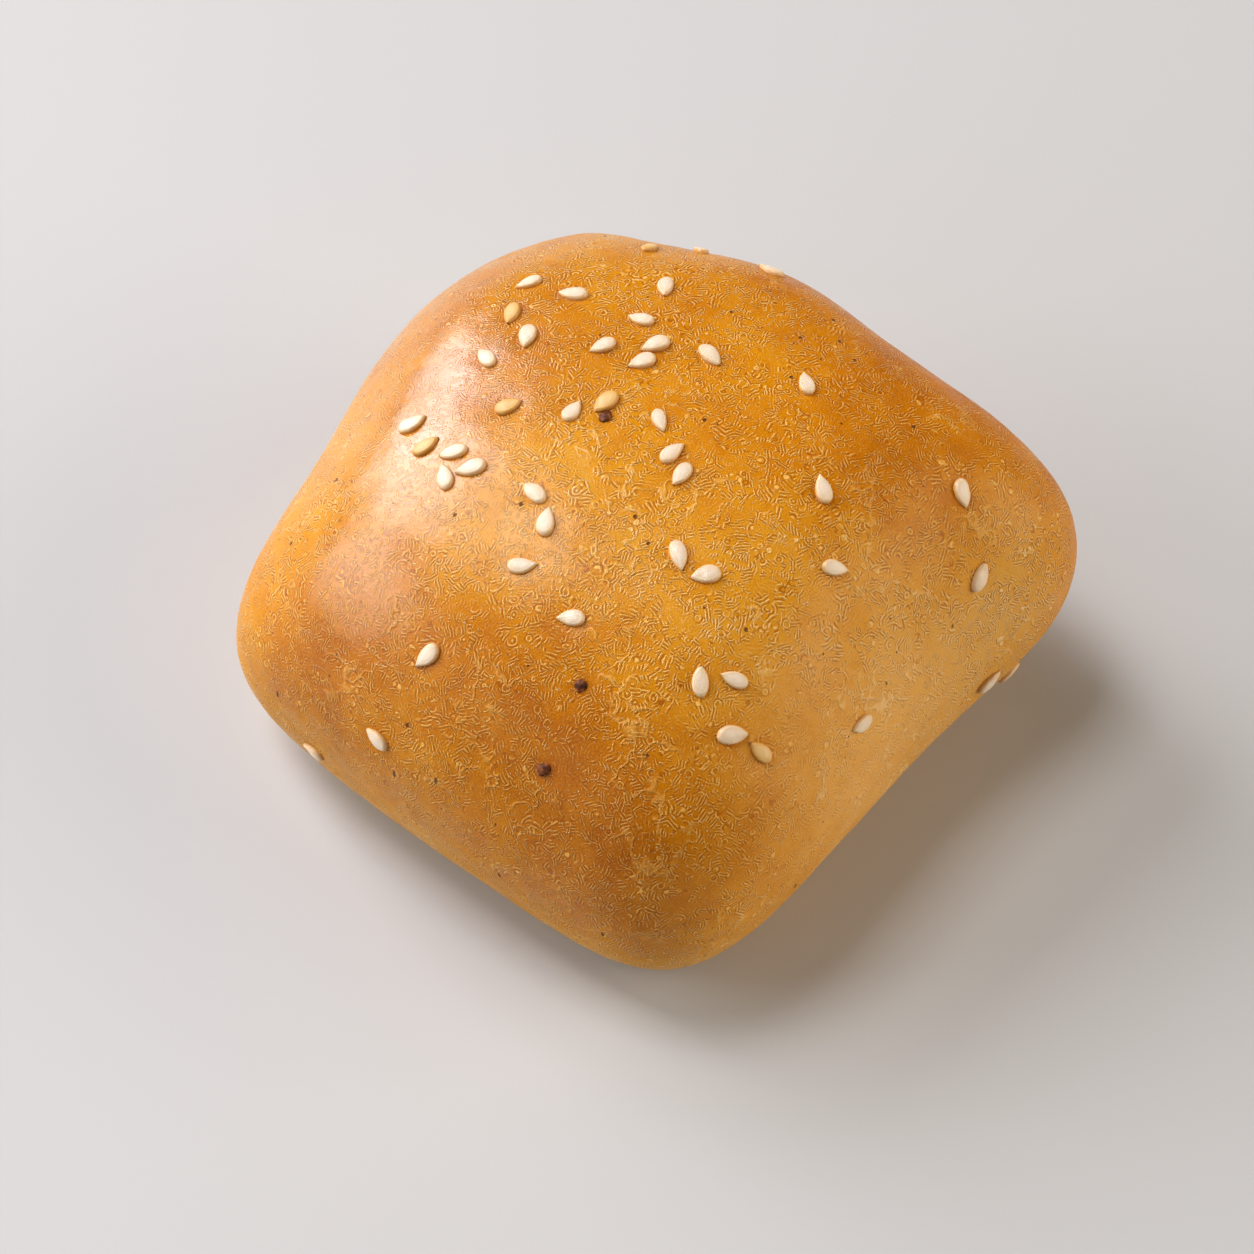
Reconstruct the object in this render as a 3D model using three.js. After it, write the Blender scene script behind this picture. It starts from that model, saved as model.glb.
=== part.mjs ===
// A soft, square bread roll: a pillow of dough, baked golden and glazed with egg, with sesame seeds
// and a few toasted flakes stuck to its crust.
// Millimetres, +Z up. The roll stands on its flat base at z = 0. Its front faces -Y and its right +X.

import * as THREE from 'three';

// ---- Driving dimensions ------------------------------------------------------------------------

// The roll's height and the shape of a slice through it. In the three fullness values 2 gives an
// ellipse, and more gives a squarer curve.
const HEIGHT = 40.3;
const WIDEST = 18.4; // height of the widest line
const TUCK = 8.5; // how far the base's edge lies inside the widest line
const SHOULDER_FULLNESS = 2.65; // how full a slice is towards its sides
const RIGHT_SHOULDER = { bearing: 0, spread: 34, fullness: 3.5 }; // the right side stands steeper
const CROWN_FULLNESS = 2.1; // how flat the crown is
const PLAN_FULLNESS = 5.9; // how square the plan is at the widest line
const ROUNDING = 1.4; // how soon the plan turns from square to round on the way up
const CROWN_LEAN = new THREE.Vector2(1.9, 0.5); // how far the crown stands off the widest line's middle

// Each side of the plan: the bearing that it faces, how far out it stands, and the part of that by
// which its middle is drawn in, over a spread of so many degrees to each side of the bearing.
const SIDES = [
  { bearing: -87, reach: 39, drawnIn: -0.01, spread: 20 }, // front
  { bearing: 2, reach: 37, drawnIn: 0.03, spread: 25 }, // right
  { bearing: 88.3, reach: 27.5, drawnIn: -0.025, spread: 22 }, // back
  { bearing: 184.4, reach: 32.4, drawnIn: -0.01, spread: 20 }, // left
];

// Where the roll differs from its four plain sides: the part by which the plan swells, over a spread,
// and the height of the widest line and the tuck there.
const SWELLS = [
  { bearing: -135, swell: -0.08, spread: 26, widest: 11.3, tuck: 8.5 }, // front left corner
  { bearing: -45, swell: -0.012, spread: 26, widest: 14.4, tuck: 8.5 }, // front right corner
  { bearing: 0, swell: 0, spread: 26, widest: 10.3, tuck: 10.4 }, // middle of the right side
  { bearing: 40, swell: 0.11, spread: 22, widest: 18.2, tuck: 19.3 }, // back right corner, overhanging
  { bearing: 135, swell: -0.13, spread: 26, widest: 10.6, tuck: 8.5 }, // back left corner
];
const LEVEL_SPREAD = 26; // degrees over which the height of the widest line and the tuck change

// The crust is a grid of steps round the roll and rows from its base to its crown.
const STEPS_ROUND = 80;
const ROWS_BELOW = 6; // from the base's edge to the widest line
const ROWS_ABOVE = 16; // from the widest line to the crown

// A sesame seed tapers to its tip. It is round across and then flattened.
const SEED = { length: 2.85, width: 1.75, thickness: 0.85, taper: 0.3, sides: 8, steps: 6 };
const SEED_VARIETY = 0.07; // the part by which the largest and smallest seeds differ from the rest
const SIZE_STEP = 0.618; // a fraction that spreads the sizes evenly along a list

// A toasted flake is a thin chip with a broken edge.
const FLAKE = { radius: 0.7, thickness: 0.35 };
const FLAKE_EDGE = [1, 0.72, 0.95, 0.6, 1.05, 0.8, 0.66]; // its radius at each broken corner, as a part

const REST_GAP = 0.2; // between the crust and the middle of what lies on it

const CRUST = { color: 0xc58433, roughness: 0.42, metalness: 0 };
const SESAME = { color: 0xe9d8b2, roughness: 0.45, metalness: 0 };
const TOASTED_SESAME = { color: 0xb98238, roughness: 0.45, metalness: 0 };
const TOASTED_FLAKE = { color: 0x4d2e12, roughness: 0.6, metalness: 0 };

// Where each piece lies: the bearing, how far it is up the slope, from 0 degrees on the widest line to
// 90 at the crown and -90 at the base's edge, and the heading of its tip as if the crust lay level.
const SESAME_SEEDS = [
  // on the crown, from the back left corner to the middle
  [118, 51, 144], [97, 54, 180], [170, 64, -118], [163, 73, -152], [125, 75, -56], [138, 82, -159],
  [-168, 74, -59], [176, 84, -110], [127, 86, -113], [150, 88, -113], [-155, 69, 161],
  // on the crown, from the middle to the right side
  [74, 84, -14], [43, 74, 140], [-41, 87, -36], [-37, 83, 85], [-35, 80, -83], [5, 70, 143],
  [25, 48, -30],
  // on the left shoulder, towards the front
  [-116, 82, 98], [-135, 58, 58], [-120, 65, -133], [-112, 66, -128], [-114, 62, 140],
  [-91, 70, 172], [-82, 67, 119],
  // on the front shoulder and the front
  [-81, 59, 40], [-66, 55, -144], [-88, 36, -107], [-90, 11, 166],
  // on the front right corner and the right side
  [-42, 68, -37], [-36, 65, -127], [-7, 58, 40], [17, 32, 125], [-41, 50, 132], [-35, 49, -156],
  [-37, 41, 50], [-14, 26, -99],
  // under the widest line
  [16, 0, 110], [23, -24, 114], [-103, -21, 178],
  // on the back and the left side
  [62, 12, 20], [84, 17, 100], [108, 12, -150], [125, 3, 60], [150, 16, 15], [172, 9, 140],
  [197, 2, -70], [45, 6, -35],
];
const TOASTED_SEEDS = [
  [131, 59, 99], [-176, 68, -61], [-131, 74, 60], [-112, 86, -92], [-126, 61, 65], [-33, 36, -171],
];
const TOASTED_FLAKES = [
  [-97, 85, 40], [-61, 46, 37], [-64, 29, 37],
];

// ---- The crust's surface -----------------------------------------------------------------------

const radians = THREE.MathUtils.degToRad;
const RIGHT_ANGLE = Math.PI / 2;
const UP = new THREE.Vector3(0, 0, 1);

/** 1 at the bearing `centre` and falling to 0 round it, over a spread in degrees. */
function near(bearing, centre, spread) {
  const turn = THREE.MathUtils.euclideanModulo(bearing - centre + 180, 360) - 180;
  return Math.exp(-((turn / spread) ** 2));
}

/** How far out the widest line is at a bearing: a square with rounded, swollen and drawn-in places. */
function reachAt(bearing) {
  let sum = 0;
  let change = 1;
  for (const side of SIDES) {
    const facing = Math.max(0, Math.cos(radians(bearing - side.bearing)));
    sum += (facing / side.reach) ** PLAN_FULLNESS;
    change -= side.drawnIn * near(bearing, side.bearing, side.spread);
  }
  for (const place of SWELLS) {
    change += place.swell * near(bearing, place.bearing, place.spread);
  }
  return change * sum ** (-1 / PLAN_FULLNESS);
}

/** A value that is `plain` all round, except near each swell, where it goes to that swell's own. */
function blendSwells(bearing, plain, key) {
  let value = plain;
  for (const place of SWELLS) {
    value += (place[key] - plain) * near(bearing, place.bearing, LEVEL_SPREAD);
  }
  return value;
}

/** The mean reach round the roll, which is the radius of the round plan near the crown. */
function meanReach() {
  let total = 0;
  for (let step = 0; step < STEPS_ROUND; step += 1) {
    total += reachAt((360 * step) / STEPS_ROUND);
  }
  return total / STEPS_ROUND;
}
const MEAN_REACH = meanReach();

/**
 * A point of the crust, at a bearing and a slope in degrees. Above the widest line a slice is a
 * superellipse and its plan turns round; below it a slice is a quarter of an ellipse down to the base.
 */
function crustPoint(bearing, slope) {
  const reach = reachAt(bearing);
  const widest = blendSwells(bearing, WIDEST, 'widest');
  let radius;
  let height;
  if (slope < 0) {
    const down = radians(-slope);
    radius = reach - blendSwells(bearing, TUCK, 'tuck') * (1 - Math.cos(down));
    height = widest * (1 - Math.sin(down));
  } else {
    const up = radians(Math.min(slope, 90));
    const steeper = near(bearing, RIGHT_SHOULDER.bearing, RIGHT_SHOULDER.spread);
    const fullness = THREE.MathUtils.lerp(SHOULDER_FULLNESS, RIGHT_SHOULDER.fullness, steeper);
    const inward = slope < 90 ? Math.cos(up) ** (2 / fullness) : 0;
    const round = Math.min(1, ROUNDING * (up / RIGHT_ANGLE) ** 2);
    radius = inward * THREE.MathUtils.lerp(reach, MEAN_REACH, round);
    height = widest + (HEIGHT - widest) * Math.sin(up) ** (2 / CROWN_FULLNESS);
  }
  const lean = THREE.MathUtils.smoothstep(height, 0, HEIGHT);
  const angle = radians(bearing);
  return new THREE.Vector3(
    radius * Math.cos(angle) + CROWN_LEAN.x * lean,
    radius * Math.sin(angle) + CROWN_LEAN.y * lean,
    height,
  );
}

/** The direction that the crust faces at a bearing and a slope, from its slopes each way. */
function crustNormal(bearing, slope) {
  const step = 0.5;
  const along = crustPoint(bearing + step, slope).sub(crustPoint(bearing - step, slope));
  const uphill = crustPoint(bearing, slope + step).sub(crustPoint(bearing, slope - step));
  return along.cross(uphill).normalize();
}

// ---- The roll: one piece of baked dough --------------------------------------------------------

/** A sphere's grid, with each row moved to its own slope and its lowest row drawn flat as the base. */
function rollGeometry() {
  const rows = ROWS_ABOVE + ROWS_BELOW + 1;
  const geometry = new THREE.SphereGeometry(1, STEPS_ROUND, rows);
  const position = geometry.getAttribute('position');
  const baseCentre = new THREE.Vector3(0, 0, 0);
  for (let row = 0; row <= rows; row += 1) {
    const rowsUp = ROWS_ABOVE - row;
    const slope = rowsUp >= 0 ? (90 * rowsUp) / ROWS_ABOVE : (90 * rowsUp) / ROWS_BELOW;
    for (let step = 0; step <= STEPS_ROUND; step += 1) {
      const bearing = (360 * (step % STEPS_ROUND)) / STEPS_ROUND;
      const point = row < rows ? crustPoint(bearing, slope) : baseCentre;
      position.setXYZ(row * (STEPS_ROUND + 1) + step, point.x, point.y, point.z);
    }
  }
  return geometry;
}

const roll = new THREE.Mesh(rollGeometry(), new THREE.MeshStandardMaterial(CRUST));
roll.name = 'bread_roll';

// ---- What lies on the crust --------------------------------------------------------------------

/** Lay a piece on the crust: tilt it with the crust, turn it to its heading and leave the gap. */
function layOnCrust(mesh, [bearing, slope, heading], halfThickness) {
  const normal = crustNormal(bearing, slope);
  const turn = new THREE.Quaternion().setFromAxisAngle(UP, radians(heading));
  mesh.quaternion.setFromUnitVectors(UP, normal).multiply(turn);
  mesh.position.copy(crustPoint(bearing, slope)).addScaledVector(normal, REST_GAP + halfThickness);
}

/** A seed with its tip towards +X: a half circle, narrowed towards the tip, turned and flattened. */
function seedGeometry(size) {
  const profile = [];
  for (let step = 0; step <= SEED.steps; step += 1) {
    const angle = (Math.PI * step) / SEED.steps;
    const isEnd = step === 0 || step === SEED.steps;
    const along = -Math.cos(angle);
    const halfWidth = isEnd ? 0 : Math.sin(angle) * (1 - SEED.taper * along);
    profile.push(new THREE.Vector2((halfWidth * SEED.width) / 2, (along * SEED.length) / 2));
  }
  const geometry = new THREE.LatheGeometry(profile, SEED.sides);
  geometry.scale(size, size, (size * SEED.thickness) / SEED.width);
  geometry.rotateZ(-RIGHT_ANGLE);
  return geometry;
}

/** A chip of crust with a broken outline, lying flat. */
function flakeGeometry() {
  const outline = FLAKE_EDGE.map((part, corner) => {
    const angle = (2 * Math.PI * corner) / FLAKE_EDGE.length;
    return new THREE.Vector2(Math.cos(angle), Math.sin(angle)).multiplyScalar(part * FLAKE.radius);
  });
  const settings = { depth: FLAKE.thickness, bevelEnabled: false };
  return new THREE.ExtrudeGeometry(new THREE.Shape(outline), settings).center();
}

/** One mesh for each place in a list, named after the piece and numbered from 1. */
function scatter(name, places, makeGeometry, thickness, material) {
  return places.map((place, index) => {
    const spread = 2 * ((index * SIZE_STEP) % 1) - 1;
    const size = 1 + SEED_VARIETY * spread;
    const mesh = new THREE.Mesh(makeGeometry(size), new THREE.MeshStandardMaterial(material));
    mesh.name = `${name}_${index + 1}`;
    layOnCrust(mesh, place, (size * thickness) / 2);
    return mesh;
  });
}

const seeds = scatter('sesame_seed', SESAME_SEEDS, seedGeometry, SEED.thickness, SESAME);
const toastedSeeds = scatter('toasted_seed', TOASTED_SEEDS, seedGeometry, SEED.thickness, TOASTED_SESAME);
const flakes = scatter('toasted_flake', TOASTED_FLAKES, flakeGeometry, FLAKE.thickness, TOASTED_FLAKE);

// ---- The whole roll, with the middle of its box over the origin ---------------------------------

const object = new THREE.Group();
object.add(roll, ...seeds, ...toastedSeeds, ...flakes);
const middle = new THREE.Box3().setFromObject(roll).getCenter(new THREE.Vector3());
object.position.set(-middle.x, -middle.y, 0);

export default object;
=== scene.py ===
# A soft square bread roll, glazed with egg, with sesame seeds and toasted flakes on its crust.
# Lengths named _MM are in millimetres; every mesh is in metres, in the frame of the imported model.

import math

import bpy
import numpy as np
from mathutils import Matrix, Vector


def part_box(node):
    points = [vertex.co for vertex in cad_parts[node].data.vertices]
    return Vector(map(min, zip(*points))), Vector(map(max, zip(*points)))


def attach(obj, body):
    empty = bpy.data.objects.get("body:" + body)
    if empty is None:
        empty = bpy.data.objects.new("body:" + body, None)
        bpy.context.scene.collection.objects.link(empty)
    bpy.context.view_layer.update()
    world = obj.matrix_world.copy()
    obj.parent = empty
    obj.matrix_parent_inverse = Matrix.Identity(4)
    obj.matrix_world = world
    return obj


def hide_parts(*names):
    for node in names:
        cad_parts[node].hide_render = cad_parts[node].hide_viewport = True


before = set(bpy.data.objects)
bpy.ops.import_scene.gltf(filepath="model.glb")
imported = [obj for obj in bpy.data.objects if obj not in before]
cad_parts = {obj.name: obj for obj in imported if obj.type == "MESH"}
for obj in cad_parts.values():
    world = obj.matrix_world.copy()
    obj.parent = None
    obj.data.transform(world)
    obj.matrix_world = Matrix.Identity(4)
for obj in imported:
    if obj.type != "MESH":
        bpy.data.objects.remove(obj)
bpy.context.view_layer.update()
MM = 0.001

# ---- The roll's crust -------------------------------------------------------------------------
# One piece of enriched wheat dough, proved until it drew in between its corners and baked free on a
# tray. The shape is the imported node's own, from the same driving sizes, worked out more finely and
# given the skin's lumps, wrinkles and the dents that the seeds pressed in.

HEIGHT_MM = 40.3
WIDEST_MM = 18.4
TUCK_MM = 8.5
SHOULDER_FULLNESS = 2.65
RIGHT_SHOULDER = dict(bearing=0, spread=34, fullness=3.5)
CROWN_FULLNESS = 2.1
PLAN_FULLNESS = 5.9
ROUNDING = 1.4
CROWN_LEAN_MM = (1.9, 0.5)
SIDES = (
    dict(bearing=-87, reach=39, drawn_in=-0.01, spread=20),  # front
    dict(bearing=2, reach=37, drawn_in=0.03, spread=25),  # right
    dict(bearing=88.3, reach=27.5, drawn_in=-0.025, spread=22),  # back
    dict(bearing=184.4, reach=32.4, drawn_in=-0.01, spread=20),  # left
)
SWELLS = (
    dict(bearing=-135, swell=-0.08, spread=26, widest=11.3, tuck=8.5),  # front left corner
    dict(bearing=-45, swell=-0.012, spread=26, widest=14.4, tuck=8.5),  # front right corner
    dict(bearing=0, swell=0, spread=26, widest=10.3, tuck=10.4),  # middle of the right side
    dict(bearing=40, swell=0.11, spread=22, widest=18.2, tuck=19.3),  # back right corner
    dict(bearing=135, swell=-0.13, spread=26, widest=10.6, tuck=8.5),  # back left corner
)
LEVEL_SPREAD = 26
COARSE_STEP = 4.5  # degrees between the bearings that the mean reach is taken over

STEPS_ROUND = 400
ROWS_UNDER = 12
ROWS_BELOW = 42
ROWS_ABOVE = 190


def near(bearing, centre, spread):
    """1 at the centre bearing, falling as a bell curve of the angle over the spread, in degrees."""
    turn = (bearing - centre + 180) % 360 - 180
    return np.exp(-((turn / spread) ** 2))


def reach_at(bearing):
    """Sum of each side's facing over its reach, to a power, turned back by the power's root: a
    rounded square. It is then scaled by the swells and the drawn-in middles."""
    total = np.zeros_like(bearing)
    change = np.ones_like(bearing)
    for side in SIDES:
        facing = np.maximum(0, np.cos(np.radians(bearing - side["bearing"])))
        total += (facing / side["reach"]) ** PLAN_FULLNESS
        change -= side["drawn_in"] * near(bearing, side["bearing"], side["spread"])
    for place in SWELLS:
        change += place["swell"] * near(bearing, place["bearing"], place["spread"])
    return change * total ** (-1 / PLAN_FULLNESS)


def blend_swells(bearing, plain, key):
    """The plain value, plus each swell's own difference from it times how near the swell is."""
    value = np.full_like(bearing, plain)
    for place in SWELLS:
        value += (place[key] - plain) * near(bearing, place["bearing"], LEVEL_SPREAD)
    return value


def crust_points(bearing, slope):
    """Points in mm at a bearing and slope in degrees. Above the widest line the radius is the reach
    times a power of the cosine and the height a power of the sine, with the plan turning round;
    below it, radius and height follow a quarter of an ellipse to the base."""
    bearing, slope = np.broadcast_arrays(bearing, slope)
    reach = reach_at(bearing)
    widest = blend_swells(bearing, WIDEST_MM, "widest")
    mean_reach = reach_at(np.arange(0, 360, COARSE_STEP)).mean()

    down = np.radians(np.maximum(-slope, 0))
    low_radius = reach - blend_swells(bearing, TUCK_MM, "tuck") * (1 - np.cos(down))
    low_height = widest * (1 - np.sin(down))

    up = np.radians(np.clip(slope, 0, 90))
    steeper = near(bearing, RIGHT_SHOULDER["bearing"], RIGHT_SHOULDER["spread"])
    fullness = SHOULDER_FULLNESS + (RIGHT_SHOULDER["fullness"] - SHOULDER_FULLNESS) * steeper
    rounded = np.minimum(1, ROUNDING * (up / (np.pi / 2)) ** 2)
    plan = reach + (mean_reach - reach) * rounded
    high_radius = np.maximum(np.cos(up), 0) ** (2 / fullness) * plan
    high_height = widest + (HEIGHT_MM - widest) * np.sin(up) ** (2 / CROWN_FULLNESS)

    radius = np.where(slope < 0, low_radius, high_radius)
    height = np.where(slope < 0, low_height, high_height)
    part = np.clip(height / HEIGHT_MM, 0, 1)
    lean = part * part * (3 - 2 * part)
    angle = np.radians(bearing)
    return np.stack(
        [
            radius * np.cos(angle) + CROWN_LEAN_MM[0] * lean,
            radius * np.sin(angle) + CROWN_LEAN_MM[1] * lean,
            height,
        ],
        axis=-1,
    )


LATTICE = 32  # cells after which the lumps come round again
LUMP_GAIN = 1.6  # makes the tallest lumps about 1


def lumps(points, cell, seed):
    """Gradient noise from -1 to 1: each corner of a lattice of cells holds a random direction, and
    its products with the way to the point are blended by a smooth curve between the corners."""
    directions = np.random.default_rng(seed).normal(size=(LATTICE, LATTICE, LATTICE, 3))
    directions /= np.linalg.norm(directions, axis=-1, keepdims=True)
    place = points / cell
    corner = np.floor(place).astype(int)
    within = place - corner
    blend = within**3 * (within * (within * 6 - 15) + 10)
    total = np.zeros(points.shape[:-1])
    for step in np.ndindex(2, 2, 2):
        chosen = directions[tuple(np.moveaxis((corner + step) % LATTICE, -1, 0))]
        weight = np.where(np.array(step) == 1, blend, 1 - blend).prod(axis=-1)
        total += weight * (chosen * (within - step)).sum(axis=-1)
    return total * LUMP_GAIN


def grid_normals(points):
    """The direction across both ways along a grid of rows that close on themselves."""
    along = np.roll(points, -1, axis=1) - np.roll(points, 1, axis=1)
    upward = np.gradient(points, axis=0)
    normals = np.cross(along, upward)
    return normals / np.maximum(np.linalg.norm(normals, axis=-1, keepdims=True), 1e-9)


def closed_mesh(name, rows, bottom, top):
    """A mesh from a grid of closed rows, with a point that closes each end, in metres."""
    count, around = rows.shape[:2]
    points = np.vstack([rows.reshape(-1, 3), bottom, top])
    row, step = np.meshgrid(np.arange(count - 1), np.arange(around), indexing="ij")
    after = (step + 1) % around
    quads = np.stack(
        [
            row * around + step,
            row * around + after,
            (row + 1) * around + after,
            (row + 1) * around + step,
        ],
        axis=-1,
    ).reshape(-1, 4)
    one = np.arange(around)
    two = (one + 1) % around
    last = (count - 1) * around
    ends = [
        np.stack([np.full(around, count * around), two, one], axis=-1),
        np.stack([last + one, last + two, np.full(around, count * around + 1)], axis=-1),
    ]
    mesh = bpy.data.meshes.new(name)
    mesh.from_pydata((points * MM).tolist(), [], quads.tolist() + np.vstack(ends).tolist())
    mesh.polygons.foreach_set("use_smooth", np.ones(len(mesh.polygons), dtype=bool))
    mesh.update()
    piece = bpy.data.objects.new(name, mesh)
    bpy.context.collection.objects.link(piece)
    return piece


def give(piece, name, rows, bottom, top):
    """A number for each vertex of a closed mesh, which its material reads by this name."""
    values = np.append(np.ravel(rows), [bottom, top]).astype(np.float32)
    piece.data.attributes.new(name, "FLOAT", "POINT").data.foreach_set("value", values)


def node_points(name):
    """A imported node's vertices in mm."""
    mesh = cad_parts[name].data
    flat = np.empty(len(mesh.vertices) * 3)
    mesh.vertices.foreach_get("co", flat)
    return flat.reshape(-1, 3) / MM


seed_nodes = sorted(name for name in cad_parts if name.startswith("sesame_seed"))
browned_nodes = sorted(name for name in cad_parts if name.startswith("toasted_seed"))
flake_nodes = sorted(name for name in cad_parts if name.startswith("toasted_flake"))

bearings = np.arange(STEPS_ROUND) * 360 / STEPS_ROUND
slopes = np.concatenate(
    [np.linspace(-90, 0, ROWS_BELOW, endpoint=False), np.linspace(0, 90, ROWS_ABOVE, endpoint=False)]
)
crust = crust_points(bearings[None, :], slopes[:, None])
low, high = (np.array(corner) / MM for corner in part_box("bread_roll"))
shift = (low + high) / 2 - (crust.min(axis=(0, 1)) + crust.max(axis=(0, 1))) / 2
shift[2] = 0
under = np.linspace(0, 1, ROWS_UNDER + 1)[1:-1, None, None] * crust[:1]
crust = np.concatenate([under, crust]) + shift
crown = crust_points(np.array(0.0), np.array(90.0)) + shift
normals = grid_normals(crust)

# The skin: slow lumps from the crumb below, a leathery pucker, and the dents under the seeds.
SKIN = (
    dict(cell=15, height=0.16, seed=3),
    dict(cell=6, height=0.06, seed=5),
    dict(cell=2.4, height=0.035, seed=8),
)
DENT_DEPTH_MM = 0.12
DENT_SPREAD_MM = 1.6
FLAT_BASE_MM = 3  # the skin lies flat on the base and comes to its full relief this far above it


def uneven(parts):
    """Sum over the parts of a height times lumps with cells of a size in mm."""
    return sum(part["height"] * lumps(crust, part["cell"], part["seed"]) for part in parts)


beside_seed = np.zeros(crust.shape[:2])
for name in seed_nodes + browned_nodes + flake_nodes:
    distance = np.linalg.norm(crust - node_points(name).mean(axis=0), axis=-1)
    beside_seed = np.maximum(beside_seed, np.exp(-((distance / DENT_SPREAD_MM) ** 2)))
lift = (uneven(SKIN) - DENT_DEPTH_MM * beside_seed) * np.clip(crust[..., 2] / FLAT_BASE_MM, 0, 1)

# How brown the crust baked, how dry and matt it is, and how much egg glaze lies on it, each from 0 to
# 1. The low sides stayed pale and dry, and the brows that stood nearest the heat are the darkest.
# Round each seed and flake the browning is deeper, partly from glaze pooled against it and partly as
# painted shade where it meets the crust.
EVEN_BROWN = 0.45
BROWN_LUMPS = (dict(cell=14, height=0.12, seed=21), dict(cell=4.5, height=0.12, seed=22))
POOLED_GLAZE_AND_SHADE_BESIDE_SEEDS = 0.22
BROWNED_PLACES = (
    dict(bearing=36, slope=52, spread=15, amount=0.3),  # over the back right corner
    dict(bearing=20, slope=22, spread=9, amount=-0.3),  # the back right corner itself
    dict(bearing=75, slope=50, spread=14, amount=0.18),  # the back brow
    dict(bearing=-52, slope=20, spread=12, amount=0.32),  # the front right corner
    dict(bearing=-106, slope=20, spread=12, amount=0.32),  # the front, towards its left corner
    dict(bearing=-76, slope=30, spread=12, amount=0.2),  # the front
    dict(bearing=-160, slope=60, spread=15, amount=0.2),  # the left shoulder
    dict(bearing=-80, slope=60, spread=10, amount=-0.26),  # the crown, towards the front
    dict(bearing=-66, slope=46, spread=10, amount=0.2),  # the front brow
    dict(bearing=-5, slope=16, spread=15, amount=-0.42),  # the right side
    dict(bearing=-140, slope=22, spread=14, amount=-0.2),  # the front left corner
    dict(bearing=125, slope=50, spread=16, amount=0.05),  # the back left corner
)
DRY_LUMPS = (dict(cell=9, height=0.15, seed=23),)
DRY_PLACES = (
    dict(bearing=0, slope=14, spread=17, amount=0.75),  # the right side
    dict(bearing=-28, slope=4, spread=12, amount=0.5),  # low on the front right corner
    dict(bearing=-32, slope=38, spread=8, amount=0.45),  # above it
    dict(bearing=-95, slope=-10, spread=12, amount=0.3),  # low on the front
)
THIN_GLAZE = 0.09
GLAZE_LUMPS = (dict(cell=7, height=0.1, seed=24),)
GLAZED_PLACES = (
    dict(bearing=-170, slope=58, spread=16, amount=0.85),  # the left shoulder
    dict(bearing=-128, slope=58, spread=12, amount=0.5),  # on from it, towards the front
    dict(bearing=-108, slope=44, spread=10, amount=0.3),  # further towards the front
    dict(bearing=100, slope=72, spread=15, amount=0.35),  # the crown, towards the back
)
FOOT_MM = 8  # how far up its sides the roll is changed by the tray that it stood on
FOOT = dict(brown=-0.4, dry=0.6, glaze=-0.3)
UNDERSIDE = dict(brown=0.4, dry=1, glaze=0)


def patches(places):
    """Sum of each place's amount, falling as a bell curve of the distance over its spread in mm."""
    total = np.zeros(crust.shape[:2])
    for place in places:
        centre = crust_points(np.array(float(place["bearing"])), np.array(float(place["slope"]))) + shift
        distance = np.linalg.norm(crust - centre, axis=-1)
        total += place["amount"] * np.exp(-((distance / place["spread"]) ** 2))
    return total


foot = np.exp(-((crust[..., 2] / FOOT_MM) ** 2))
brown = EVEN_BROWN + uneven(BROWN_LUMPS) + patches(BROWNED_PLACES) + FOOT["brown"] * foot
# Deeper brown round the seeds and flakes: pooled glaze, and painted shade where they meet the crust.
brown += POOLED_GLAZE_AND_SHADE_BESIDE_SEEDS * beside_seed**2
dry = uneven(DRY_LUMPS) + patches(DRY_PLACES) + FOOT["dry"] * foot
glaze = THIN_GLAZE + uneven(GLAZE_LUMPS) + patches(GLAZED_PLACES) + FOOT["glaze"] * foot

crust += normals * lift[..., None]
roll = closed_mesh("roll_crust", crust, shift, crown + (0, 0, lift[-1].mean()))
give(roll, "browning", np.clip(brown, 0, 1), UNDERSIDE["brown"], brown[-1].mean())
give(roll, "dryness", np.clip(dry, 0, 1), UNDERSIDE["dry"], dry[-1].mean())
give(roll, "glaze", np.clip(glaze, 0, 1), UNDERSIDE["glaze"], glaze[-1].mean())


def linear(hex_colour):
    """An sRGB hex colour as the linear values that shaders take."""
    parts = [int(hex_colour[i : i + 2], 16) / 255 for i in (1, 3, 5)]
    return [p / 12.92 if p <= 0.04045 else ((p + 0.055) / 1.055) ** 2.4 for p in parts] + [1]


def add(tree, kind, inputs=None, output=0, stops=(), **settings):
    """Add a node, make its settings, put in a ramp's stops, each a position and an sRGB hex colour,
    and set or link its inputs by name or number. The result is one output, or for None the node."""
    node = tree.nodes.new("ShaderNode" + kind)
    for key, value in settings.items():
        setattr(node, key, value)
    for position, _ in stops[2:]:
        node.color_ramp.elements.new(position)
    for index, (position, colour) in enumerate(stops):
        node.color_ramp.elements[index].position = position
        node.color_ramp.elements[index].color = linear(colour)
    for key, value in (inputs or {}).items():
        if isinstance(value, bpy.types.NodeSocket):
            tree.links.new(value, node.inputs[key])
        else:
            node.inputs[key].default_value = value
    return node if output is None else node.outputs[output]


def new_material(name, **constants):
    """A material with an empty tree, its output and a Principled shader with its constant values."""
    material = bpy.data.materials.new(name)
    material.use_nodes = True
    tree = material.node_tree
    tree.nodes.clear()
    inputs = {key.replace("_", " "): value for key, value in constants.items()}
    shader = add(tree, "BsdfPrincipled", inputs, None)
    add(tree, "OutputMaterial", {"Surface": shader.outputs[0]}, None)
    return material, tree, shader
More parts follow.
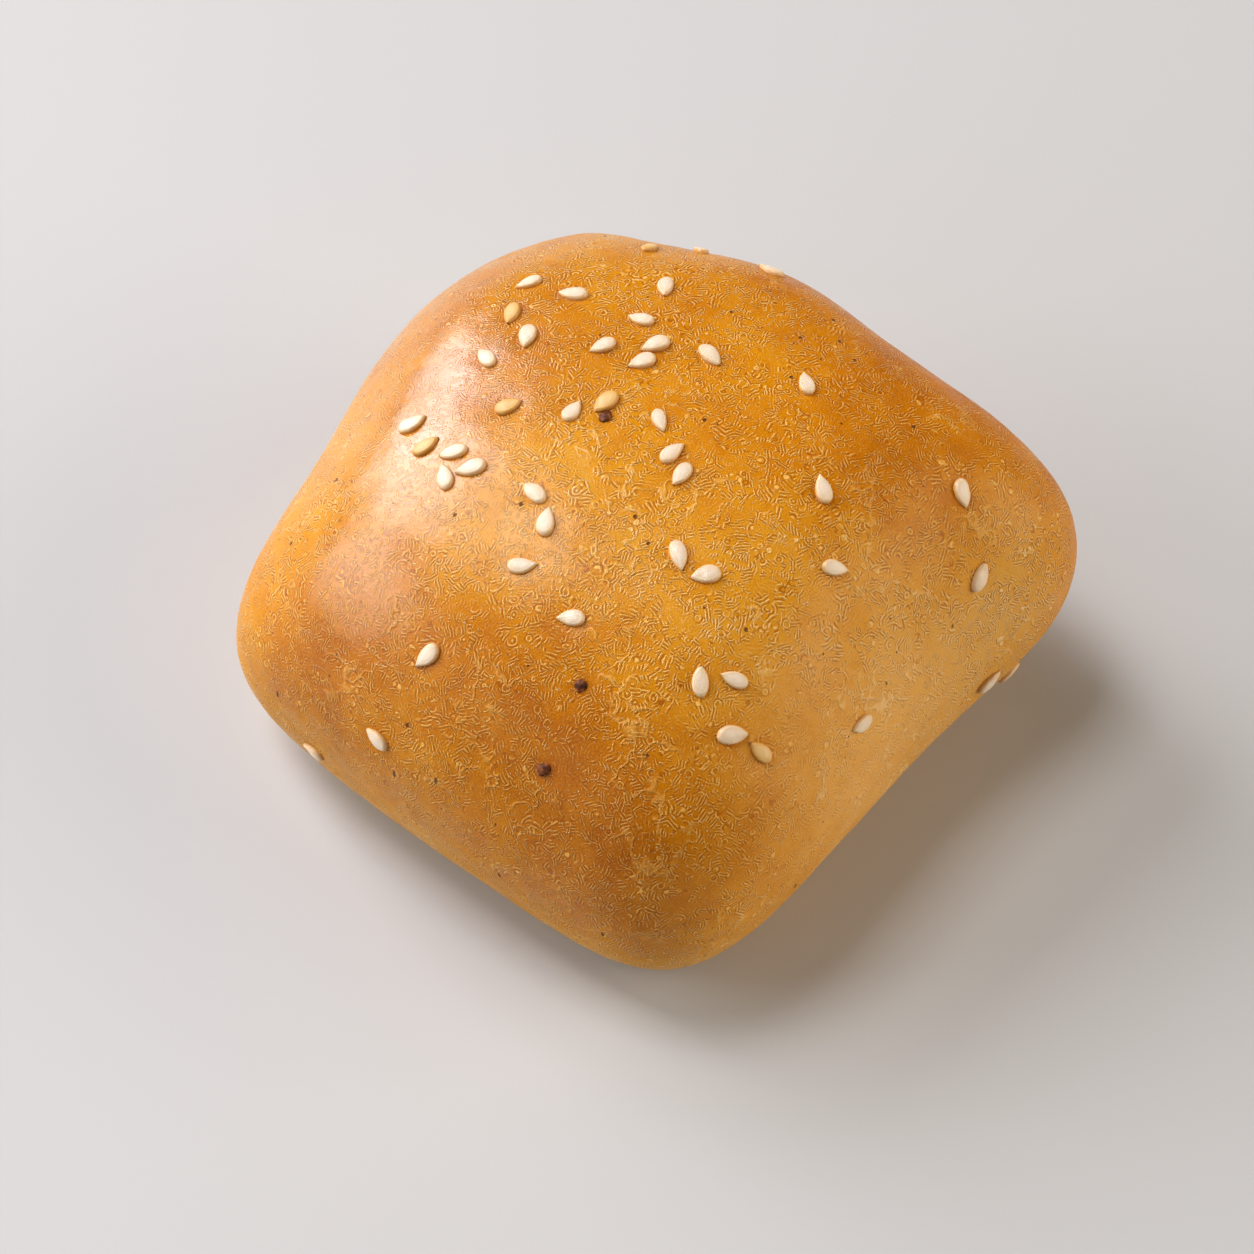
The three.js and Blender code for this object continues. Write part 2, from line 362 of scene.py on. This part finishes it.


# Egg-glazed wheat crust, baked: a nearly matt skin under a thin hard gloss, which is thickest on the
# left shoulder. As it shrank it wrinkled into whorls, amber between them and cream on their crests,
# where the paler stretched skin also carries a painted highlight that stands for glints of the gloss.
WHORL_MM = 0.29
WHORL_PATCH_MM = 0.85
COARSE_WHORL_MM = 0.35
COARSE_PATCH_MM = 1.15
GRAIN_MM = 0.17
HEIGHTS_MM = dict(whorls=0.062, grain=0.03, veins=0.08, pits=-0.25, beads_and_glints=0.09)
COAT_RELIEF = 0.5  # the glaze levels itself, so its surface has only this part of the skin's relief
GLAZED = ((0.0, "#e3a83c"), (0.35, "#dc9410"), (0.65, "#c87802"), (1.0, "#a05000"))
DRIED = ((0.0, "#eab160"), (0.35, "#dd9b3e"), (0.65, "#c67e20"), (1.0, "#a05c12"))
# The crest colour is the stretched skin's paler colour with a painted highlight of the gloss in it.
CREST = ((0.0, "#fde2ae"), (0.5, "#f7c265"), (1.0, "#d08c34"))
# The bead colour is a painted glint as well as the colour of dried egg.
GROOVE, BEAD_AND_GLINT, PIT = "#9c4e04", "#f8e2bd", "#5c2c08"

material, tree, shader = new_material("egg_glazed_crust", IOR=1.2, Coat_Roughness=0.2, Coat_IOR=1.7)
coordinates = add(tree, "TexCoord", output=None)
place = coordinates.outputs["Object"]
browning = add(tree, "Attribute", output="Fac", attribute_name="browning")
dryness = add(tree, "Attribute", output="Fac", attribute_name="dryness")
glossy = add(tree, "Attribute", output="Fac", attribute_name="glaze")


def warped(size_mm, amount_mm):
    """The place, moved by soft noise with lumps of this size."""
    inputs = {"Vector": place, "Scale": 1 / (size_mm * MM), "Detail": 1.0}
    drift = add(tree, "TexNoise", inputs, "Color")
    drift = add(tree, "VectorMath", {0: drift, 1: (0.5, 0.5, 0.5)}, operation="SUBTRACT")
    inputs = {0: drift, 1: (amount_mm * MM,) * 3, 2: place}
    return add(tree, "VectorMath", inputs, operation="MULTIPLY_ADD")


def whorls(where, spacing_mm, patch_mm):
    """Ridges from -1 to 1, in small patches: the sine of the distance across a direction that each
    patch has along the skin, or in some of the patches of the distance from the patch's middle."""
    patch = add(tree, "TexVoronoi", {"Vector": where, "Scale": 1 / (patch_mm * MM)}, None)
    inputs = {0: patch.outputs["Color"], 1: (0.5, 0.5, 0.5)}
    chance = add(tree, "VectorMath", inputs, operation="SUBTRACT")
    inputs = {0: coordinates.outputs["Normal"], 1: chance}
    direction = add(tree, "VectorMath", inputs, operation="CROSS_PRODUCT")
    direction = add(tree, "VectorMath", {0: direction}, operation="NORMALIZE")
    inputs = {0: where, 1: patch.outputs["Position"]}
    from_middle = add(tree, "VectorMath", inputs, operation="SUBTRACT")
    inputs = {0: from_middle, 1: direction}
    across = add(tree, "VectorMath", inputs, "Value", operation="DOT_PRODUCT")
    across = add(tree, "Math", {0: across, 1: 2 * math.pi / (spacing_mm * MM)}, operation="MULTIPLY")
    inputs = {0: patch.outputs["Distance"], 1: 2 * math.pi * patch_mm / spacing_mm}
    around = add(tree, "Math", inputs, operation="MULTIPLY")
    sideways = add(tree, "SeparateXYZ", {0: chance})
    sideways = add(tree, "Math", {0: sideways}, operation="ABSOLUTE")
    in_rings = add(tree, "Math", {0: sideways, 1: 0.36}, operation="GREATER_THAN")
    turn = add(tree, "Mix", {0: in_rings, 2: across, 3: around})
    return add(tree, "Math", {0: turn}, operation="SINE")


def spots(cell_mm, radius_mm, kept, stretch=(1, 1, 1)):
    """1 inside small spots, of which each cell has one at most, in only some of the cells."""
    stretched = add(tree, "VectorMath", {0: place, 1: stretch}, operation="MULTIPLY")
    cell = add(tree, "TexVoronoi", {"Vector": stretched, "Scale": 1 / (cell_mm * MM)}, None)
    radius = radius_mm / cell_mm
    inputs = {0: cell.outputs["Distance"], 1: 0.5 * radius, 2: radius, 3: 1.0, 4: 0.0}
    inside = add(tree, "MapRange", inputs, interpolation_type="SMOOTHSTEP")
    chance = add(tree, "SeparateColor", {0: cell.outputs["Color"]})
    chosen = add(tree, "Math", {0: chance, 1: kept}, operation="LESS_THAN")
    return add(tree, "Math", {0: inside, 1: chosen}, operation="MULTIPLY")


def blotches(size_mm, detail, low, high, to_low=0.0, to_high=1.0):
    """Soft noise with lumps of this size, taken by a smooth step from one value to another."""
    inputs = {"Vector": place, "Scale": 1 / (size_mm * MM), "Detail": detail}
    inputs = {0: add(tree, "TexNoise", inputs), 1: low, 2: high, 3: to_low, 4: to_high}
    return add(tree, "MapRange", inputs, interpolation_type="SMOOTHSTEP")


fine = whorls(warped(0.7, 0.3), WHORL_MM, WHORL_PATCH_MM)
coarse = whorls(warped(1.2, 0.6), COARSE_WHORL_MM, COARSE_PATCH_MM)
wave = add(tree, "Mix", {0: blotches(4.0, 1.0, 0.5, 0.6), 2: fine, 3: coarse})
broken = blotches(0.55, 0.0, 0.34, 0.58)
pools = blotches(2.6, 1.0, 0.54, 0.66, 1.0, 0.2)
smoother = add(
    tree, "MapRange", {0: dryness, 1: 0.1, 2: 0.9, 3: 1.0, 4: 0.4}, interpolation_type="SMOOTHSTEP"
)
shown = add(tree, "Math", {0: broken, 1: pools}, operation="MULTIPLY")
shown = add(tree, "Math", {0: shown, 1: smoother}, operation="MULTIPLY")
crests = add(tree, "MapRange", {0: wave, 1: 0.1, 2: 0.95}, interpolation_type="SMOOTHSTEP")
crests = add(tree, "Math", {0: crests, 1: shown}, operation="MULTIPLY")
grooves = add(tree, "MapRange", {0: wave, 1: -0.2, 2: -0.95}, interpolation_type="SMOOTHSTEP")
grooves = add(tree, "Math", {0: grooves, 1: shown}, operation="MULTIPLY")
grain = add(tree, "TexNoise", {"Vector": place, "Scale": 1 / (GRAIN_MM * MM), "Detail": 0.0})

# Fine veins, where a smooth noise passes its middle value. They stay off the thickest glaze.
inputs = {"Vector": warped(1.6, 0.9), "Scale": 1 / (3.6 * MM), "Detail": 2.0}
veins = add(tree, "Math", {0: add(tree, "TexNoise", inputs), 1: 0.5}, operation="SUBTRACT")
veins = add(tree, "Math", {0: veins}, operation="ABSOLUTE")
veins = add(tree, "MapRange", {0: veins, 1: 0.0, 2: 0.03, 3: 1.0, 4: 0.0}, interpolation_type="SMOOTHSTEP")
bare = add(tree, "MapRange", {0: glossy, 1: 0.3, 2: 0.6, 3: 1.0, 4: 0.0}, interpolation_type="SMOOTHSTEP")
bare = add(tree, "Math", {0: blotches(7.0, 1.0, 0.52, 0.62), 1: bare}, operation="MULTIPLY")
veins = add(tree, "Math", {0: veins, 1: bare}, operation="MULTIPLY")

# Slits and pinholes where gas broke the skin, and small light beads of dried egg, which also carry painted
# glints of the gloss.
slits = spots(2.4, 0.24, 0.25, (1, 1, 0.45))
pits = add(tree, "Math", {0: slits, 1: spots(1.6, 0.13, 0.16)}, operation="MAXIMUM")
beads_and_glints = spots(0.55, 0.095, 0.5)

inputs = {"Vector": place, "Scale": 1 / (1.6 * MM), "Detail": 2.0}
for mottle in (add(tree, "TexNoise", inputs), grain):
    browning = add(tree, "Math", {0: mottle, 1: 0.3, 2: browning}, operation="MULTIPLY_ADD")
    browning = add(tree, "Math", {0: browning, 1: 0.15}, operation="SUBTRACT")
glazed = add(tree, "ValToRGB", {0: browning}, stops=GLAZED)
dried = add(tree, "ValToRGB", {0: browning}, stops=DRIED)
crest = add(tree, "ValToRGB", {0: browning}, stops=CREST)
colour = add(tree, "Mix", {0: dryness, 6: glazed, 7: dried}, 2, data_type="RGBA")
# Crests and beads lighten the colour partly as painted highlight, for glints of the gloss.
for mark, strength, paint in (
    (grooves, 0.8, linear(GROOVE)),
    (crests, 0.95, crest),
    (veins, 0.4, crest),
    (beads_and_glints, 0.7, linear(BEAD_AND_GLINT)),
    (pits, 0.85, linear(PIT)),
):
    part = add(tree, "Math", {0: mark, 1: strength}, operation="MULTIPLY")
    colour = add(tree, "Mix", {0: part, 6: colour, 7: paint}, 2, data_type="RGBA")
tree.links.new(colour, shader.inputs["Base Color"])
tree.links.new(glossy, shader.inputs["Coat Weight"])
inputs = {0: dryness, 1: 0.15, 2: blotches(2.5, 2.0, 0.35, 0.65, 0.34, 0.5)}
tree.links.new(add(tree, "Math", inputs, operation="MULTIPLY_ADD"), shader.inputs["Roughness"])

relief = 0.0
for mark, key in ((crests, "whorls"), (grain, "grain"), (veins, "veins"), (pits, "pits"), (beads_and_glints, "beads_and_glints")):
    relief = add(tree, "Math", {0: mark, 1: HEIGHTS_MM[key], 2: relief}, operation="MULTIPLY_ADD")
for socket, part in (("Normal", 1), ("Coat Normal", COAT_RELIEF)):
    bump = add(tree, "Bump", {"Strength": 1.0, "Distance": part * MM, "Height": relief})
    tree.links.new(bump, shader.inputs[socket])
roll.data.materials.append(material)
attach(roll, "root")
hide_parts("bread_roll")

# ---- Hulled sesame seeds ------------------------------------------------------------------------
# White sesame with its hull taken off: a flat oily teardrop with a fine raised rim round its face.
# The seeds were scattered on the wet glaze, which holds them by their undersides.

SEED_ROWS = 30
SEED_STEPS = 40
SEED_SINK_MM = 0.28
RIM_MM = 0.04
BEAK = 0.1  # how far the tip runs out past a plain oval, as a part of half the length
SEED_WAVINESS_MM = 0.05


def local_axes(name):
    """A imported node's middle, and its directions and sizes along, across and through it."""
    points = node_points(name)
    middle = points.mean(axis=0)
    spread = np.linalg.svd(points - middle, full_matrices=False)[2]
    along, across, through = spread
    nearest = np.unravel_index(np.linalg.norm(crust - middle, axis=-1).argmin(), crust.shape[:2])
    through = through * np.sign(through @ normals[nearest])
    placed = (points - middle) @ np.stack([along, across, through]).T
    middle = middle + (placed.max(axis=0) + placed.min(axis=0)) / 2 @ np.stack([along, across, through])
    size = placed.max(axis=0) - placed.min(axis=0)
    centred = placed[:, 0] - (placed[:, 0].max() + placed[:, 0].min()) / 2
    wide_end = np.sign((centred * np.abs(placed[:, 1])).sum())
    along = along * -wide_end
    across = np.cross(through, along)
    return middle, np.stack([along, across, through]), size, crust[nearest], normals[nearest]


def teardrop(size, chance):
    """Rows of an outline, x = cos a and y = sin a times a power of sin a/2, drawn in by the cosine of
    the row's slope and raised by its sine, with a rim near the edge of the upper face."""
    point, bend, fat = chance.uniform((0.1, -0.1, 0.88), (0.6, 0.1, 1.02))
    angle = np.arange(SEED_STEPS) * 2 * np.pi / SEED_STEPS
    x = np.cos(angle) + BEAK * np.maximum(np.cos(angle), 0) ** 14
    y = np.sin(angle) * np.sin(angle / 2) ** point
    y = y / np.abs(y).max() * fat
    slope = np.radians(np.linspace(-88, 88, SEED_ROWS))[:, None]
    inward = np.cos(slope) ** 0.75
    high = np.sin(slope) * np.abs(np.sin(slope)) ** -0.25
    along = x * inward
    across = y * inward + bend * along**2
    rim = RIM_MM * np.exp(-(((inward - 0.8) / 0.075) ** 2)) * (slope > 0)
    thick = high * size[2] / 2 * (1 - 0.22 * along - 0.1 * along**2) + rim
    points = np.stack([along * size[0] / 2, across * size[1] / 2, thick + 0 * along], axis=-1)
    points += SEED_WAVINESS_MM * lumps(points + 50 * point, 0.9, 12)[..., None] * (0.4, 0.6, 1)
    return points, inward + 0 * along, along


def lay_seed(piece_name, node, chance, material, sink):
    """A seed in the place of its node, let down on to the crust, with how near its edge each vertex
    is, how near its tip, and the seed's own tone."""
    middle, axes, size, foot, normal = local_axes(node)
    points, edge, tip = teardrop(size, chance)
    drop = (foot - middle) @ normal + size[2] / 2 - sink
    placed = points @ axes + middle + normal * drop
    seed = closed_mesh(piece_name, placed, placed[0].mean(axis=0), placed[-1].mean(axis=0))
    upper = np.linspace(-1, 1, SEED_ROWS)[:, None] > 0
    give(seed, "edge", np.where(upper, edge, 1), 1, 0)
    give(seed, "tip", tip, 0, 0)
    give(seed, "tone", np.full(edge.shape, chance.uniform()), 0.5, 0.5)
    seed.data.materials.append(material)
    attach(seed, "root")
    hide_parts(node)


def sesame_material(name, heart, flesh, border, tip_colour, **constants):
    """Oily seed flesh: lightest in its heart, clearer and more golden towards its thin edge, and on
    some of the seeds dark at the tip, where the stalk was."""
    material, tree, shader = new_material(name, IOR=1.47, **constants)
    place = add(tree, "TexCoord", output="Object")
    edge = add(tree, "Attribute", output="Fac", attribute_name="edge")
    tip = add(tree, "Attribute", output="Fac", attribute_name="tip")
    tone = add(tree, "Attribute", output="Fac", attribute_name="tone")
    mottle = add(tree, "TexNoise", {"Vector": place, "Scale": 1 / (0.5 * MM), "Detail": 2.0})
    edge = add(tree, "Math", {0: mottle, 1: 0.14, 2: edge}, operation="MULTIPLY_ADD")
    edge = add(tree, "Math", {0: edge, 1: 0.07}, operation="SUBTRACT")
    colour = add(tree, "ValToRGB", {0: edge}, stops=((0.35, heart), (0.86, flesh), (1.0, border)))
    part = add(tree, "Math", {0: tone, 1: 0.35}, operation="MULTIPLY")
    colour = add(tree, "Mix", {0: part, 6: colour, 7: linear(flesh)}, 2, data_type="RGBA")
    at_tip = add(tree, "MapRange", {0: tip, 1: 0.97, 2: 1.04}, interpolation_type="SMOOTHSTEP")
    darker = add(tree, "MapRange", {0: tone, 1: 0.45, 2: 0.6}, interpolation_type="SMOOTHSTEP")
    part = add(tree, "Math", {0: at_tip, 1: darker}, operation="MULTIPLY")
    colour = add(tree, "Mix", {0: part, 6: colour, 7: linear(tip_colour)}, 2, data_type="RGBA")
    tree.links.new(colour, shader.inputs["Base Color"])
    relief = add(tree, "TexNoise", {"Vector": place, "Scale": 1 / (0.28 * MM), "Detail": 1.0})
    bump = add(tree, "Bump", {"Strength": 1.0, "Distance": 0.02 * MM, "Height": relief})
    tree.links.new(bump, shader.inputs["Normal"])
    return material


hulled_sesame = sesame_material(
    "hulled_sesame",
    "#f3e0cc",
    "#e9cdaa",
    "#d59e50",
    "#a86a30",
    Roughness=0.34,
    Subsurface_Weight=0.25,
    Subsurface_Radius=(0.9 * MM, 0.6 * MM, 0.3 * MM),
    Subsurface_Scale=1.0,
)
for number, name in enumerate(seed_nodes):
    chance = np.random.default_rng(100 + number)
    lay_seed(f"hulled_{name}", name, chance, hulled_sesame, SEED_SINK_MM)

# ---- Browned sesame seeds -----------------------------------------------------------------------
# A few seeds of the same white sesame that toasted through in the oven. They are golden brown, drier
# and duller than the rest and darker at the edge, and the same glaze holds them.

browned_sesame = sesame_material("browned_sesame", "#ecc88c", "#e0ab5c", "#bf7f30", "#85501e", Roughness=0.4)
for number, name in enumerate(browned_nodes):
    chance = np.random.default_rng(300 + number)
    lay_seed(f"browned_{name}", name, chance, browned_sesame, SEED_SINK_MM)

# ---- Scorched flakes ----------------------------------------------------------------------------
# Crumbs of bran and burnt glaze that lay on the tray or the dough and baked on to the crust. They
# are broken into small dark facets, and their undersides are stuck in the glaze.

FLAKE_ROWS = 24
FLAKE_STEPS = 36
FLAKE_FACETS = 11
FLAKE_EDGE = 14  # how sharp the edges between the facets are
FLAKE_REACH = 1.25  # where two facets leave a long corner, it is broken off at this radius
FLAKE_FULLNESS = 0.8
FLAKE_SINK_MM = 0.12

# Scorched bran: almost matt, brown-black, and a warmer brown where a facet broke it open.
SCORCHED = ((0.3, "#341608"), (0.52, "#6a3214"), (0.72, "#a4642c"))
material, tree, shader = new_material("scorched_flake", Roughness=0.55, IOR=1.35)
place = add(tree, "TexCoord", output="Object")
tone = add(tree, "TexNoise", {"Vector": place, "Scale": 1 / (0.5 * MM), "Detail": 2.0})
tree.links.new(add(tree, "ValToRGB", {0: tone}, stops=SCORCHED), shader.inputs["Base Color"])
relief = add(tree, "TexNoise", {"Vector": place, "Scale": 1 / (0.2 * MM), "Detail": 1.0})
bump = add(tree, "Bump", {"Strength": 1.0, "Distance": 0.05 * MM, "Height": relief})
tree.links.new(bump, shader.inputs["Normal"])


def broken_lump(size, chance):
    """Points outwards from a middle, at 1 over the root of the sum of a power of how squarely each
    facet faces that way. The facets face random ways, and the whole is scaled to the size."""
    facets = chance.normal(size=(FLAKE_FACETS, 3))
    facets /= np.linalg.norm(facets, axis=-1, keepdims=True)
    around = np.arange(FLAKE_STEPS) * 2 * np.pi / FLAKE_STEPS
    slope = np.radians(np.linspace(-86, 86, FLAKE_ROWS))[:, None]
    outward = np.stack(
        [np.cos(slope) * np.cos(around), np.cos(slope) * np.sin(around), np.sin(slope) + 0 * around],
        axis=-1,
    )
    facing = np.maximum(outward @ facets.T, 0)
    radius = np.minimum((facing**FLAKE_EDGE).sum(axis=-1) ** (-1 / FLAKE_EDGE), FLAKE_REACH)
    return outward * radius[..., None] * (size[0] / 2, size[1] / 2, size[2] * FLAKE_FULLNESS)


for number, name in enumerate(flake_nodes):
    middle, axes, size, foot, normal = local_axes(name)
    points = broken_lump(size, np.random.default_rng(500 + number))
    drop = (foot - middle) @ normal + size[2] / 2 - FLAKE_SINK_MM
    placed = points @ axes + middle + normal * drop
    flake = closed_mesh(f"scorched_{name}", placed, placed[0].mean(axis=0), placed[-1].mean(axis=0))
    flake.data.materials.append(material)
    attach(flake, "root")
    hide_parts(name)

# ---- Studio -------------------------------------------------------------------------------------
# A plain pale table, soft lights that stand for windows and the walls that return them, and the
# camera.

HALF_TABLE = 1.5
corners = [(HALF_TABLE * x, HALF_TABLE * y, 0) for x, y in ((-1, -1), (1, -1), (1, 1), (-1, 1))]
floor_mesh = bpy.data.meshes.new("table")
floor_mesh.from_pydata(corners, [], [(0, 1, 2, 3)])
floor = bpy.data.objects.new("table", floor_mesh)
bpy.context.collection.objects.link(floor)
# Pale honed stone, as smooth as paper.
material, tree, shader = new_material("honed_pale_stone", Base_Color=linear("#c5c5c6"), Roughness=0.6)
floor_mesh.materials.append(material)

AZIMUTH, ELEVATION = math.radians(40.9), math.radians(54.4)
DISTANCE = 0.33
SENSOR_MM = 36
VIEW_WIDTH = 0.1329  # how much of the table's width the frame takes in at the roll
AIM_RIGHT, AIM_UP = -0.66 * MM, -0.46 * MM  # where the camera aims, beside the roll's middle
right = Vector((math.cos(AZIMUTH), math.sin(AZIMUTH), 0))
away = Vector((-math.sin(AZIMUTH), math.cos(AZIMUTH), 0))
back = Vector((0, 0, math.sin(ELEVATION))) - away * math.cos(ELEVATION)
up = back.cross(right)
camera = bpy.data.objects.new("camera", bpy.data.cameras.new("camera"))
bpy.context.collection.objects.link(camera)
camera.data.sensor_width = SENSOR_MM
camera.data.lens = SENSOR_MM * DISTANCE / VIEW_WIDTH
camera.location = Vector(shift * MM) + back * DISTANCE + right * AIM_RIGHT + up * AIM_UP
camera.rotation_euler = back.to_track_quat("Z", "Y").to_euler()
bpy.context.scene.camera = camera

LIGHTS = (
    dict(name="low_window", at=(-0.68, 0.78, 0.42), size=0.36, watts=2.6, colour=(1, 0.965, 1)),
    dict(name="near_window", at=(-0.69, 0.54, 0.76), size=0.54, watts=6.8, colour=(1, 0.965, 1)),
    dict(name="far_window", at=(-1.22, 0.05, 0.58), size=0.75, watts=9.4, colour=(1, 0.985, 0.98)),
    dict(name="skylight", at=(-0.5, 0.25, 1.5), size=0.5, watts=10, colour=(1, 0.985, 0.98)),
    dict(name="warm_wall", at=(1.15, -0.1, 0.42), size=1.0, watts=11.5, colour=(1, 0.86, 0.66)),
    dict(name="pale_wall", at=(-0.9, -0.8, 0.5), size=0.9, watts=2.5, colour=(0.9, 0.97, 1)),
)
for light in LIGHTS:
    lamp = bpy.data.objects.new(light["name"], bpy.data.lights.new(light["name"], "AREA"))
    bpy.context.collection.objects.link(lamp)
    to_right, to_back, height = light["at"]
    lamp.location = right * to_right + away * to_back + Vector((0, 0, height))
    lamp.rotation_euler = lamp.location.to_track_quat("Z", "Y").to_euler()
    lamp.data.shape = "SQUARE"
    lamp.data.size = light["size"]
    lamp.data.energy = light["watts"]
    lamp.data.color = light["colour"]
world = bpy.data.worlds.new("room")
bpy.context.scene.world = world
world.use_nodes = True
world.node_tree.nodes["Background"].inputs["Color"].default_value = (0.9, 0.95, 1.0, 1)
world.node_tree.nodes["Background"].inputs["Strength"].default_value = 0.03
bpy.context.scene.view_settings.view_transform = "Standard"
